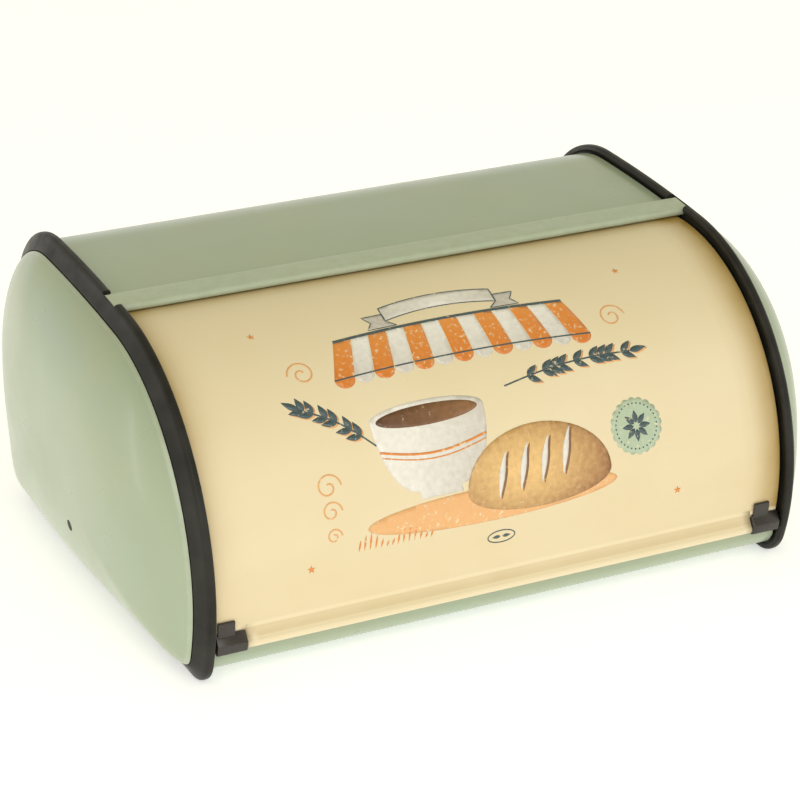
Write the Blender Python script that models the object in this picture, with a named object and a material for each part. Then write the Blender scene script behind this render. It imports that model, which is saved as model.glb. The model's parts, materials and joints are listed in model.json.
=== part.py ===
"""Bread box with a roll top, as separate pieces on one lid hinge.

Units are metres. +X runs along the width, the front faces -Y, and +Z is up.
The origin is at the centre of the footprint, on the surface that the box stands on.
Angles in the side view are degrees: 0 points to the rear, 90 up and 180 to the front.
"""
import math

import bmesh
import bpy
from mathutils import Vector

# Driving dimensions of the side outline, which is the crest of the trim rings.
DEPTH = 0.285
FRONT_RADIUS = 0.121
PIVOT_Z = 0.0525
FRONT_FOOT_RADIUS = 0.020
REAR_TOP_RADIUS = 0.071
REAR_FOOT_RADIUS = 0.024
FRONT_ARC_END = 96.6
TOP_ARC_END = 91.3

# Driving dimensions across the width.
RING_INNER_X = 0.170
COVER_RIM_X = 0.1788
COVER_BULGE = 0.027
COVER_FULLNESS = 3.7
COVER_SHOULDER = 0.7
COVER_THICKNESS = 0.0008
COVER_MIDDLE = (0.125, 0.078)

# Sheet metal, and how far each sheet lies inside the trim's crest.
SHEET = 0.0007
SHELL_INSET = 0.005
COVER_INSET = 0.0098
GAP = 0.0003

# Lid, as radii from the pivot and angles above the front horizontal.
LID_RADIUS = FRONT_RADIUS - 0.0062
LID_HALF_WIDTH = 0.1694
LID_FLANGE_RADIUS = LID_RADIUS - 0.010
LID_LOW = -12.0
LID_HIGH = 98.0
LIP_HALF_WIDTH = 0.1517
LIP_STEP_RADIUS = LID_RADIUS + 0.0004
LIP_RADIUS = LID_RADIUS + 0.0024
LIP_STEP_ANGLE = -12.4
LIP_ANGLE = -14.4
LIP_BEAD_RADIUS = 0.0024
LIP_ROLL = (95.0, 330.0)
LIP_ROOT_LEAD = 0.7

# Flattened roll along the front of the fixed top, and the upstand at the front of the floor.
NOSE_ANGLE = 91.0
NOSE_BEAD_RADIUS = 0.0021
NOSE_CENTRE_RADIUS = LID_RADIUS + 0.0030
NOSE_FLAT = 0.0115
NOSE_HALF_WIDTH = 0.1743
NOSE_LEAD = 0.003
NOSE_ROOT = -25.0
NOSE_OPENING = 20.0
NOTCH_DEPTH_X = 0.1748
NOTCH_RISE = 0.008
NOTCH_CLEARANCE = 2 * GAP
UPSTAND_RADIUS = LID_RADIUS - 0.0027
UPSTAND_ANGLE = -13.6

# Caps on the ends of the lip: two identical mouldings, each with its tab near its left end.
# Sections are (above the lid's face, degrees above the lip).
CAP_INNER_X = 0.152
CAP_OUTER_X = 0.1690
CAP_TAB_OFFSET = 0.0012
CAP_TAB_WIDTH = 0.0096
CAP_BODY = (
    (0.0004, 3.9), (0.0032, 2.7), (0.0058, 1.6), (0.0060, -0.9),
    (0.0047, -1.6), (0.0010, -1.4), (-0.0006, 0.2), (0.0004, 1.4),
)
CAP_TAB = ((0.00038, 7.4), (0.0017, 7.2), (0.0020, 3.0), (0.00042, 2.4))

# Pivots and lid arms.
PIN_RADIUS = 0.0023
PIN_HEAD_RADIUS = 0.0029
PIN_HOLE_RADIUS = 0.0026
COVER_HOLE_RADIUS = 0.0032
PIN_INNER_X = 0.1631
PIN_HEAD_LENGTH = 0.0018
BUSH_RADIUS = 0.0050
BUSH_INNER_X = 0.1684
BUSH_COVER_CLEARANCE = 0.0030
WASHER_RADIUS = 0.0070
WASHER_X = (0.1657, 0.1667)
RETAINER_RADIUS = 0.0055
RETAINER_X = (0.1639, 0.1654)
ARM_X = (0.1670, 0.1681)
ARM_HUB_RADIUS = 0.011
ARM_FOOT_RADIUS = LID_RADIUS - 0.002
ARM_ANGLE = 42.0
ARM_FOOT_HALF_ANGLE = 13.0
RIVET_RADIUS = 0.0015
RIVET_HEAD_RADIUS = 0.0030
RIVET_HOLE_RADIUS = 0.0018
RIVET_CENTRE_RADIUS = LID_RADIUS - 0.0058
RIVET_X = (0.1659, 0.1667, 0.1697, 0.1704)
RIVET_EDGE_ANGLE = 4.0

# Steps round each arc of the side outline, from the front foot to the rear foot.
OUTLINE_STEPS = (5, 20, 3, 10, 5)
ROUND_STEPS = 24
LID_STEPS = 30
NOSE_STEPS = 10
LIP_STEPS = 12
HUB_STEPS = 12
FOOT_STEPS = 8
DOME_RINGS = 8
COVER_LONGEST_RUN = 0.020

# Edges sharper than this stay crisp, and a cutter runs this far past the face it cuts.
SHARP_ANGLE = math.radians(35)
CUT_PAST = 0.001
SAME_POINT = 1e-6

PIVOT_Y = -DEPTH / 2 + FRONT_RADIUS
PIVOT = (PIVOT_Y, PIVOT_Z)
SIDES = {"left": -1, "right": 1}


def direction(angle):
    """Unit vector (y, z) in the side view."""
    turn = math.radians(angle)
    return math.cos(turn), math.sin(turn)


def along(start, angle, distance):
    """Point at a distance from a start point, in the side view."""
    y, z = direction(angle)
    return start[0] + distance * y, start[1] + distance * z


def lid_point(radius, angle):
    """Point at a radius from the pivot and an angle above the front horizontal."""
    return along(PIVOT, 180 - angle, radius)


def arc(centre, radius, start, end, steps):
    """Points along an arc, both ends included."""
    return [along(centre, start + (end - start) * i / steps, radius) for i in range(steps + 1)]


def outline_arcs():
    """Centre, radius, start and end of each arc, tangent to each other or joined by a flat."""
    foot_reach = FRONT_RADIUS - FRONT_FOOT_RADIUS
    foot_drop = PIVOT_Z - FRONT_FOOT_RADIUS
    foot_angle = 180 + math.degrees(math.asin(foot_drop / foot_reach))
    front_foot = along(PIVOT, foot_angle, foot_reach)
    front_end = along(PIVOT, FRONT_ARC_END, FRONT_RADIUS)
    rear_y = DEPTH / 2 - REAR_TOP_RADIUS
    top_end_y = rear_y + REAR_TOP_RADIUS * direction(TOP_ARC_END)[0]
    top_turn = direction(TOP_ARC_END)[0] - direction(FRONT_ARC_END)[0]
    top_radius = (top_end_y - front_end[0]) / top_turn
    top_centre = along(front_end, FRONT_ARC_END, -top_radius)
    top_end = along(top_centre, TOP_ARC_END, top_radius)
    rear_top = along(top_end, TOP_ARC_END, -REAR_TOP_RADIUS)
    rear_foot = (DEPTH / 2 - REAR_FOOT_RADIUS, REAR_FOOT_RADIUS)
    return (
        (front_foot, FRONT_FOOT_RADIUS, 270.0, foot_angle),
        (PIVOT, FRONT_RADIUS, foot_angle, FRONT_ARC_END),
        (top_centre, top_radius, FRONT_ARC_END, TOP_ARC_END),
        (rear_top, REAR_TOP_RADIUS, TOP_ARC_END, 0.0),
        (rear_foot, REAR_FOOT_RADIUS, 0.0, -90.0),
    )


def outline(inset):
    """Closed side outline, moved in from the crest, as (y, z) points from the front foot."""
    points = []
    for (centre, radius, start, end), steps in zip(outline_arcs(), OUTLINE_STEPS):
        for point in arc(centre, radius - inset, start, end, steps):
            if not points or math.dist(point, points[-1]) > SAME_POINT:
                points.append(point)
    return points


def subdivided(points, longest):
    """Closed outline with its long straight runs split evenly."""
    fine = []
    for start, end in zip(points, points[1:] + points[:1]):
        parts = max(1, math.ceil(math.dist(start, end) / longest))
        for i in range(parts):
            share = i / parts
            fine.append((start[0] + share * (end[0] - start[0]), start[1] + share * (end[1] - start[1])))
    return fine


def finish(name, colour, roughness, metallic=0.0):
    """Principled material from a colour, a roughness and a metallic value."""
    material = bpy.data.materials.new(name)
    material.use_nodes = True
    shader = material.node_tree.nodes["Principled BSDF"]
    shader.inputs["Base Color"].default_value = (*colour, 1.0)
    shader.inputs["Roughness"].default_value = roughness
    shader.inputs["Metallic"].default_value = metallic
    return material


def add_object(name, bm, material, origin=None):
    """Turn a closed bmesh into a named object, with its origin at a world point."""
    bmesh.ops.recalc_face_normals(bm, faces=bm.faces)
    if origin is not None:
        bmesh.ops.translate(bm, verts=bm.verts, vec=-Vector(origin))
    mesh = bpy.data.meshes.new(name)
    bm.to_mesh(mesh)
    bm.free()
    mesh.shade_smooth()
    mesh.set_sharp_from_angle(angle=SHARP_ANGLE)
    if material is not None:
        mesh.materials.append(material)
    obj = bpy.data.objects.new(name, mesh)
    if origin is not None:
        obj.location = origin
    bpy.context.scene.collection.objects.link(obj)
    return obj


def grid_faces(bm, rows, closed_rows, closed_columns):
    """Join a grid of vertices with quads."""
    row_pairs = len(rows) if closed_rows else len(rows) - 1
    columns = len(rows[0])
    column_pairs = columns if closed_columns else columns - 1
    for i in range(row_pairs):
        for j in range(column_pairs):
            upper = rows[(i + 1) % len(rows)]
            nxt = (j + 1) % columns
            bm.faces.new((rows[i][j], rows[i][nxt], upper[nxt], upper[j]))


def extruded(section, x_low, x_high):
    """A closed (y, z) section drawn out along X."""
    bm = bmesh.new()
    rows = [[bm.verts.new((x, y, z)) for y, z in section] for x in (x_low, x_high)]
    grid_faces(bm, rows, False, True)
    bm.faces.new(rows[0])
    bm.faces.new(rows[1])
    return bm


def turned(profile, centre):
    """A closed (x, radius) profile turned about an X axis; a radius of 0 makes a pole."""
    bm = bmesh.new()
    y0, z0 = centre
    rings = []
    for x, radius in profile:
        if radius == 0:
            rings.append([bm.verts.new((x, y0, z0))])
            continue
        ring = [along(centre, 360 * i / ROUND_STEPS, radius) for i in range(ROUND_STEPS)]
        rings.append([bm.verts.new((x, y, z)) for y, z in ring])
    solid = len(rings[0]) == 1
    pairs = zip(rings, rings[1:]) if solid else zip(rings, rings[1:] + rings[:1])
    for low, high in pairs:
        for i in range(ROUND_STEPS):
            nxt = (i + 1) % ROUND_STEPS
            corners = [low[i % len(low)], low[nxt % len(low)], high[nxt % len(high)], high[i % len(high)]]
            bm.faces.new(list(dict.fromkeys(corners)))
    return bm


def thickened(path, thickness):
    """Closed section of a bent sheet, from the middle line of the sheet."""
    left = []
    right = []
    for i, point in enumerate(path):
        before = Vector(path[max(i - 1, 0)])
        after = Vector(path[min(i + 1, len(path) - 1)])
        run = (after - before).normalized()
        side = Vector((-run.y, run.x)) * thickness / 2
        left.append(tuple(Vector(point) + side))
        right.append(tuple(Vector(point) - side))
    return left + right[::-1]


def boolean(target, tool, operation):
    """Apply a cutter or an added body to an object, and remove the tool."""
    modifier = target.modifiers.new(operation.lower(), "BOOLEAN")
    modifier.operation = operation
    modifier.solver = "EXACT"
    modifier.object = tool
    bpy.context.view_layer.update()
    graph = bpy.context.evaluated_depsgraph_get()
    mesh = bpy.data.meshes.new_from_object(target.evaluated_get(graph))
    target.modifiers.clear()
    target.data = mesh
    mesh.shade_smooth()
    mesh.set_sharp_from_angle(angle=SHARP_ANGLE)
    bpy.data.objects.remove(tool)


def drill(target, centre, radius, x_low, x_high):
    """Drill a round hole along X."""
    profile = ((x_low, 0), (x_low, radius), (x_high, radius), (x_high, 0))
    cutter = add_object("drill", turned(profile, centre), None)
    boolean(target, cutter, "DIFFERENCE")


def mirrored(side, low, high):
    """Lower and upper X of a span given outward from the middle."""
    return tuple(sorted((side * low, side * high)))


def nose_centres():
    """Front and rear centres of the flattened roll, in line with the rising top."""
    front = lid_point(NOSE_CENTRE_RADIUS, NOSE_ANGLE)
    return front, along(front, FRONT_ARC_END - 90, NOSE_FLAT)


def nose_path():
    """Middle line of the flattened roll, left open at its lower rear."""
    front, rear = nose_centres()
    up = FRONT_ARC_END
    path = arc(rear, NOSE_BEAD_RADIUS, NOSE_ROOT, up, NOSE_STEPS)
    path += arc(front, NOSE_BEAD_RADIUS, up, up + 180, 2 * NOSE_STEPS)
    path += arc(rear, NOSE_BEAD_RADIUS, up + 180, 360 + NOSE_ROOT - NOSE_OPENING, NOSE_STEPS // 2)
    return path


def notch_path():
    """Closed section of the notch round the roll, open through the ring's crest."""
    front, rear = nose_centres()
    up = FRONT_ARC_END
    radius = NOSE_BEAD_RADIUS + SHEET / 2 + NOTCH_CLEARANCE
    path = arc(front, radius, up + 90, up + 180, NOSE_STEPS)
    path += arc(rear, radius, up + 180, up + 270, NOSE_STEPS)
    return path + [along(path[-1], up, NOTCH_RISE), along(path[0], up, NOTCH_RISE)]


def make_body_shell(material):
    """Floor, back and top in one sheet, with the front roll and the floor's upstand."""
    inset = SHELL_INSET + SHEET / 2
    foot, _, top, rear_top, rear_foot = outline_arcs()
    steps = OUTLINE_STEPS
    path = [lid_point(UPSTAND_RADIUS, UPSTAND_ANGLE)]
    path += arc(foot[0], foot[1] - inset, foot[3], foot[2], steps[0])
    path += arc(rear_foot[0], rear_foot[1] - inset, -90.0, 0.0, steps[4])
    path += arc(rear_top[0], rear_top[1] - inset, 0.0, TOP_ARC_END, steps[3])
    rear = nose_centres()[1]
    lead_y = rear[0] + NOSE_BEAD_RADIUS + NOSE_LEAD
    sheet_end = math.degrees(math.acos((lead_y - top[0][0]) / (top[1] - inset)))
    path += arc(top[0], top[1] - inset, TOP_ARC_END, sheet_end, steps[2])[1:]
    path.append(along(rear, NOSE_ROOT, NOSE_BEAD_RADIUS))
    edge = RING_INNER_X - GAP
    shell = add_object("body_shell", extruded(thickened(path, SHEET), -edge, edge), material)
    section = thickened(nose_path(), SHEET)
    roll = add_object("roll", extruded(section, -NOSE_HALF_WIDTH, NOSE_HALF_WIDTH), material)
    boolean(shell, roll, "UNION")


def ring_section():
    """Trim section as (outward from the inner wall, inward from the crest)."""
    return (
        (0.0010, 0.0130), (0.0010, 0.0040), (0.0, 0.0030), (0.0, 0.0014), (0.0005, 0.0004), (0.0014, 0.0),
        (0.0036, 0.0), (0.0050, 0.0012), (0.0064, 0.0040), (0.0079, 0.0066), (0.0094, 0.0088),
        (0.0092, 0.0094), (0.0085, 0.0094), (0.0085, 0.0130),
    )


def make_trim_ring(name, side, material):
    """Plastic ring round one end of the box, whose lowest flat carries the box."""
    bm = bmesh.new()
    columns = []
    for across, inset in ring_section():
        x = side * (RING_INNER_X + across)
        columns.append([bm.verts.new((x, y, z)) for y, z in outline(inset)])
    grid_faces(bm, columns, True, True)
    ring = add_object(name, bm, material)
    span = mirrored(side, RING_INNER_X - CUT_PAST, NOTCH_DEPTH_X)
    boolean(ring, add_object("notch", extruded(notch_path(), *span), None), "DIFFERENCE")


def cover_x(share):
    """Outer face of the cover, from its centre (0) to its rim (1)."""
    return COVER_RIM_X + COVER_THICKNESS + COVER_BULGE * (1 - share ** COVER_FULLNESS) ** COVER_SHOULDER


def cover_centre():
    """Middle of the cover in the side view."""
    points = outline(COVER_INSET)
    heights = [z for _, z in points]
    return 0.0, (min(heights) + max(heights)) / 2


def cover_ring(share):
    """One ring of the dome, rounder towards the middle, as (y, z) points."""
    centre = cover_centre()
    half_y, half_z = COVER_MIDDLE
    ring = []
    for y, z in subdivided(outline(COVER_INSET), COVER_LONGEST_RUN):
        reach = math.hypot(y - centre[0], z - centre[1])
        turn_y = (y - centre[0]) / reach
        turn_z = (z - centre[1]) / reach
        oval = 1 / math.hypot(turn_y / half_y, turn_z / half_z)
        blend = share ** 2
        distance = share * (reach * blend + oval * (1 - blend))
        ring.append((centre[0] + turn_y * distance, centre[1] + turn_z * distance))
    return ring


def make_side_cover(name, side, material):
    """Domed sheet end, drilled for the pivot pin; returns its outer X at the pivot."""
    bm = bmesh.new()
    centre = cover_centre()
    shares = [math.sin(math.pi / 2 * i / DOME_RINGS) for i in range(DOME_RINGS, 0, -1)]
    rims = []
    for depth in (0.0, COVER_THICKNESS):
        rows = []
        for share in shares:
            x = side * (cover_x(share) - depth)
            rows.append([bm.verts.new((x, y, z)) for y, z in cover_ring(share)])
        grid_faces(bm, rows, False, True)
        pole = bm.verts.new((side * (cover_x(0) - depth), *centre))
        last = rows[-1]
        for i, vertex in enumerate(last):
            bm.faces.new((vertex, last[(i + 1) % len(last)], pole))
        rims.append(rows[0])
    grid_faces(bm, rims, False, True)
    cover = add_object(name, bm, material)
    start = (side * (COVER_RIM_X + 2 * COVER_BULGE), *PIVOT)
    hit = cover.ray_cast(start, (-side, 0, 0))[1]
    drill(cover, PIVOT, COVER_HOLE_RADIUS, *mirrored(side, COVER_RIM_X, abs(start[0])))
    return abs(hit.x)


def make_pivot(name, side, outer, steel, plastic):
    """Pin, spacer bush, washer and push-on retainer, up to the cover's outer X."""
    neck = outer - PIN_HEAD_LENGTH
    pin = ((PIN_INNER_X, 0), (PIN_INNER_X, PIN_RADIUS), (neck, PIN_RADIUS),
           (neck, PIN_HEAD_RADIUS), (outer, PIN_HEAD_RADIUS), (outer, 0))
    bush_end = outer - COVER_THICKNESS - BUSH_COVER_CLEARANCE
    tubes = (
        ("bush", BUSH_RADIUS, (BUSH_INNER_X, bush_end), plastic),
        ("washer", WASHER_RADIUS, WASHER_X, plastic),
        ("retainer", RETAINER_RADIUS, RETAINER_X, steel),
    )
    add_object(f"{name}_pivot_pin", turned([(side * x, r) for x, r in pin], PIVOT), steel)
    for kind, radius, (low, high), material in tubes:
        tube = ((low, PIN_HOLE_RADIUS), (low, radius), (high, radius), (high, PIN_HOLE_RADIUS))
        bm = turned([(side * x, r) for x, r in tube], PIVOT)
        add_object(f"{name}_pivot_{kind}", bm, material)


def make_lid_panel(material):
    """Rolled sheet with turned-in ends, and the stepped lip that is the handle."""
    bm = bmesh.new()
    x = LID_HALF_WIDTH
    inner = LID_RADIUS - SHEET
    section = ((-x, LID_FLANGE_RADIUS), (-x, LID_RADIUS), (x, LID_RADIUS), (x, LID_FLANGE_RADIUS),
               (x - SHEET, LID_FLANGE_RADIUS), (x - SHEET, inner), (SHEET - x, inner),
               (SHEET - x, LID_FLANGE_RADIUS))
    rows = []
    for i in range(LID_STEPS + 1):
        angle = LID_LOW + (LID_HIGH - LID_LOW) * i / LID_STEPS
        rows.append([bm.verts.new((across, *lid_point(radius, angle))) for across, radius in section])
    grid_faces(bm, rows, False, True)
    bm.faces.new(rows[0])
    bm.faces.new(rows[-1])
    origin = (0, *PIVOT)
    panel = add_object("lid_panel", bm, material, origin)
    bead_centre = lid_point(LIP_RADIUS, LIP_ANGLE)
    root = lid_point(LID_RADIUS - SHEET / 2, LID_LOW + LIP_ROOT_LEAD)
    path = [root, lid_point(LIP_STEP_RADIUS, LIP_STEP_ANGLE)]
    path += arc(bead_centre, LIP_BEAD_RADIUS, *LIP_ROLL, LIP_STEPS)
    lip = extruded(thickened(path, SHEET), -LIP_HALF_WIDTH, LIP_HALF_WIDTH)
    boolean(panel, add_object("lip", lip, material), "UNION")
    return panel


def make_lid_cap(name, side, material):
    """Moulded end of the lip, with a tab that lies on the lid."""
    body = [lid_point(LID_RADIUS + above, LIP_ANGLE + angle) for above, angle in CAP_BODY]
    tab = [lid_point(LID_RADIUS + above, LIP_ANGLE + angle) for above, angle in CAP_TAB]
    low, high = mirrored(side, CAP_INNER_X, CAP_OUTER_X)
    tab_low = low + CAP_TAB_OFFSET
    cap = add_object(name, extruded(body, low, high), material)
    boolean(cap, add_object("tab", extruded(tab, tab_low, tab_low + CAP_TAB_WIDTH), material), "UNION")


def rivet_points():
    """Names and centres of the two rivets of an arm, in the side view."""
    spread = ARM_FOOT_HALF_ANGLE - RIVET_EDGE_ANGLE
    return {
        "upper": lid_point(RIVET_CENTRE_RADIUS, ARM_ANGLE + spread),
        "lower": lid_point(RIVET_CENTRE_RADIUS, ARM_ANGLE - spread),
    }


def make_lid_arm(name, side, material):
    """Flat arm from the pivot to the turned-in end of the lid."""
    facing = 180 - ARM_ANGLE
    hub = arc(PIVOT, ARM_HUB_RADIUS, facing + 90, facing + 270, HUB_STEPS)
    foot_ends = (facing - ARM_FOOT_HALF_ANGLE, facing + ARM_FOOT_HALF_ANGLE)
    foot = arc(PIVOT, ARM_FOOT_RADIUS, *foot_ends, FOOT_STEPS)
    arm = add_object(f"{name}_lid_arm", extruded(hub + foot, *mirrored(side, *ARM_X)), material)
    span = mirrored(side, ARM_X[0] - CUT_PAST, ARM_X[1] + CUT_PAST)
    drill(arm, PIVOT, PIN_HOLE_RADIUS, *span)
    for centre in rivet_points().values():
        drill(arm, centre, RIVET_HOLE_RADIUS, *span)


def make_arm_rivets(name, side, material):
    """Rivets that hold one arm to the lid."""
    a, b, c, d = RIVET_X
    profile = ((a, 0), (a, RIVET_HEAD_RADIUS), (b, RIVET_HEAD_RADIUS), (b, RIVET_RADIUS),
               (c, RIVET_RADIUS), (c, RIVET_HEAD_RADIUS), (d, RIVET_HEAD_RADIUS), (d, 0))
    for level, centre in rivet_points().items():
        bm = turned([(side * x, r) for x, r in profile], centre)
        add_object(f"{name}_arm_rivet_{level}", bm, material)


def drill_lid_for_rivets(panel):
    """Rivet holes in the lid's two turned-in ends."""
    for side in SIDES.values():
        span = mirrored(side, LID_HALF_WIDTH - SHEET - CUT_PAST, LID_HALF_WIDTH + CUT_PAST)
        for y, z in rivet_points().values():
            drill(panel, (y, z), RIVET_HOLE_RADIUS, *span)


def hang_on_pivot():
    """Parent the moving pieces to an empty on the hinge axis."""
    pivot = bpy.data.objects.new("lid_pivot", None)
    pivot.location = (0, *PIVOT)
    bpy.context.scene.collection.objects.link(pivot)
    bpy.context.view_layer.update()
    for obj in bpy.context.scene.objects:
        if obj.type == "MESH" and any(word in obj.name for word in ("lid_", "arm_rivet")):
            obj.parent = pivot
            obj.matrix_parent_inverse = pivot.matrix_world.inverted()


def clear_scene():
    """Start from an empty scene."""
    for obj in list(bpy.data.objects):
        bpy.data.objects.remove(obj)


def main():
    clear_scene()
    paint = finish("mint_paint", (0.45, 0.53, 0.38), 0.35)
    enamel = finish("cream_enamel", (0.84, 0.73, 0.51), 0.25)
    trim = finish("dark_trim", (0.035, 0.032, 0.026), 0.35)
    black = finish("black_plastic", (0.02, 0.018, 0.016), 0.45)
    steel = finish("zinc_steel", (0.55, 0.55, 0.53), 0.35, 1.0)
    nylon = finish("white_nylon", (0.78, 0.77, 0.72), 0.5)
    make_body_shell(paint)
    panel = make_lid_panel(enamel)
    drill_lid_for_rivets(panel)
    for name, side in SIDES.items():
        make_trim_ring(f"{name}_trim_ring", side, trim)
        cover_outer = make_side_cover(f"{name}_side_cover", side, paint)
        make_pivot(name, side, cover_outer, steel, nylon)
        make_lid_cap(f"{name}_lid_cap", side, black)
        make_lid_arm(name, side, steel)
        make_arm_rivets(name, side, steel)
    hang_on_pivot()


main()
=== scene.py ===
# %% [markdown]
# # A bread box with a roll top
# The box is four kinds of piece. One bent steel sheet is its floor, back and top. Two domed
# steel ends close it. Two plastic rings cover the joints and carry its weight. A curved lid
# rolls up under the top on two pivots.
#
# The working model, with its sizes and its hinge, is loaded first and is never moved. This
# script makes the fine surfaces and the finishes around it, one piece at a time.

# %% Load the working model
import json
import math

import bmesh
import bpy
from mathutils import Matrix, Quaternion, Vector
from mathutils.geometry import delaunay_2d_cdt


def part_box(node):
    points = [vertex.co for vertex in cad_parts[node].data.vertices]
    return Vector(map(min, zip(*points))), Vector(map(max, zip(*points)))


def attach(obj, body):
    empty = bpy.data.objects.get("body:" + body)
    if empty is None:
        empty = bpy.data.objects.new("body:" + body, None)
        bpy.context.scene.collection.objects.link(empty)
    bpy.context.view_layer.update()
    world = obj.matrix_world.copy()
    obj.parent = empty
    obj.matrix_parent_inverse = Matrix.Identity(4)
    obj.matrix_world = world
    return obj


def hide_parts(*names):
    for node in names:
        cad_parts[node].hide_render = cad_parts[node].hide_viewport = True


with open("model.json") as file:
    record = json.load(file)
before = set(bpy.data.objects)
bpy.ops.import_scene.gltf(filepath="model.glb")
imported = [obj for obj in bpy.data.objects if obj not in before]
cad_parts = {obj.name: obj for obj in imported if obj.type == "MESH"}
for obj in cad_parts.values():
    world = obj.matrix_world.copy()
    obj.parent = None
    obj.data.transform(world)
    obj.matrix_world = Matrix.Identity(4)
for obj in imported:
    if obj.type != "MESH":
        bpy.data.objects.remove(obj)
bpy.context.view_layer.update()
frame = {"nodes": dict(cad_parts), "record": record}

# %% [markdown]
# ## The camera
# The camera stands a little to the left of the front and looks down, so that the lid, the top
# and one domed end all show. A lens this long keeps the two ends nearly the same size.

# %% Camera
CAMERA_AZIMUTH = -25.83
CAMERA_ELEVATION = 23.32
CAMERA_DISTANCE = 1.6288
CAMERA_AIM = Vector((0.0017, 0.0, 0.0774))
CAMERA_ROLL = -0.22
CAMERA_LENS = 129.56


def toward(azimuth, elevation):
    """Direction from the object to a viewer at that azimuth and elevation, in degrees."""
    turn, lift = math.radians(azimuth), math.radians(elevation)
    return Vector((math.sin(turn) * math.cos(lift), -math.cos(turn) * math.cos(lift), math.sin(lift)))


def aim(thing, target, roll=0.0):
    """Point a camera or a lamp at a place."""
    look = (target - thing.location).to_track_quat("-Z", "Y")
    thing.rotation_mode = "QUATERNION"
    thing.rotation_quaternion = look @ Quaternion((0, 0, 1), math.radians(roll))


scene = bpy.context.scene
camera_data = bpy.data.cameras.new("camera")
camera_data.lens = CAMERA_LENS
camera = bpy.data.objects.new("camera", camera_data)
camera.location = CAMERA_AIM + CAMERA_DISTANCE * toward(CAMERA_AZIMUTH, CAMERA_ELEVATION)
scene.collection.objects.link(camera)
aim(camera, CAMERA_AIM, CAMERA_ROLL)
scene.camera = camera
scene.view_settings.view_transform = "Standard"
print("camera stands", round(CAMERA_DISTANCE, 2), "m away with a", CAMERA_LENS, "mm lens")

# %% [markdown]
# ## Small tools for finishes
# A finish is a small network of nodes. Building one by hand takes several lines for each node,
# so these helpers make a node, wire it and name what it is for. Every finish is then a few
# lines that read like a recipe.

# %% Node helpers
def wire(tree, socket, value):
    """Give a socket a number, a colour or another node's output."""
    if isinstance(value, bpy.types.NodeSocket):
        tree.links.new(value, socket)
    else:
        socket.default_value = value


def put(tree, kind, settings=None, **sockets):
    """Add a node; socket names are written with _ for a space."""
    made = tree.nodes.new(kind)
    for key, value in (settings or {}).items():
        setattr(made, key, value)
    for key, value in sockets.items():
        wire(tree, made.inputs[key.replace("_", " ")], value)
    return made


def sums(tree, operation, first, second=0.0):
    """One step of arithmetic."""
    made = put(tree, "ShaderNodeMath", {"operation": operation})
    wire(tree, made.inputs[0], first)
    wire(tree, made.inputs[1], second)
    return made.outputs[0]


def blended(tree, share, first, second):
    """A colour between two colours."""
    made = put(tree, "ShaderNodeMix", {"data_type": "RGBA"})
    wire(tree, made.inputs[0], share)
    wire(tree, made.inputs[6], first)
    wire(tree, made.inputs[7], second)
    return made.outputs[2]


def spread(tree, value, low, high, to_low=0.0, to_high=1.0):
    """Stretch a range of values onto another."""
    made = put(tree, "ShaderNodeMapRange", Value=value, From_Min=low, From_Max=high,
               To_Min=to_low, To_Max=to_high)
    return made.outputs["Result"]


def places(tree):
    """Where a point is on the piece, in metres."""
    return put(tree, "ShaderNodeTexCoord").outputs["Object"]


def painted(tree, name, output="Fac"):
    """A value painted on the mesh's points."""
    return put(tree, "ShaderNodeAttribute", {"attribute_name": name}).outputs[output]


def mottle(tree, where, blotch, detail=3.0, stretch=(1, 1, 1)):
    """Soft noise whose blotches are that many metres across."""
    scaled = put(tree, "ShaderNodeMapping", Vector=where, Scale=stretch)
    noise = put(tree, "ShaderNodeTexNoise", Vector=scaled.outputs[0], Scale=1 / blotch, Detail=detail)
    return noise.outputs["Fac"]


def new_finish(name, metallic=0.0, coat=0.0, coat_roughness=0.1):
    """A material's node tree and its shader."""
    material = bpy.data.materials.new(name)
    material.use_nodes = True
    tree = material.node_tree
    shader = tree.nodes["Principled BSDF"]
    shader.inputs["Metallic"].default_value = metallic
    shader.inputs["Coat Weight"].default_value = coat
    shader.inputs["Coat Roughness"].default_value = coat_roughness
    return material, tree, shader


def emboss(tree, shader, height, depth):
    """Raise the surface by a height map; depth in metres."""
    bump = put(tree, "ShaderNodeBump", Height=height, Distance=depth)
    tree.links.new(bump.outputs[0], shader.inputs["Normal"])


def opaque(colour):
    """A colour with full alpha."""
    return (*colour, 1.0)


print("node helpers ready")

# %% [markdown]
# ## The floor and the light
# A product on a pale sweep is lit by very large, soft sources, so the sky here does most of
# the work. It is dimmer and warmer overhead than round the horizon, so the front of the box
# comes out brighter than its top. The floor glows a little, so that it stays white. A softbox
# lights the lid, a narrow strip on the left draws a soft streak on the domed end, and a weak
# lamp fills the right.

# %% Floor and lamps
FLOOR_WIDTH = 9.0
FLOOR_GLOW = 0.46
SKY_HORIZON = 1.02
SKY_TOP = 0.42
SKY_TOP_TINT = (1.0, 0.94, 0.64)
LAMPS = (
    # name, azimuth, elevation, distance, width, height, watts
    ("front_softbox", -20, 34, 1.9, 1.3, 1.3, 10.0),
    ("left_strip", -96, 12, 1.3, 0.10, 1.1, 0.9),
    ("right_fill", 55, 30, 2.2, 1.2, 1.2, 1.8),
)


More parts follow.
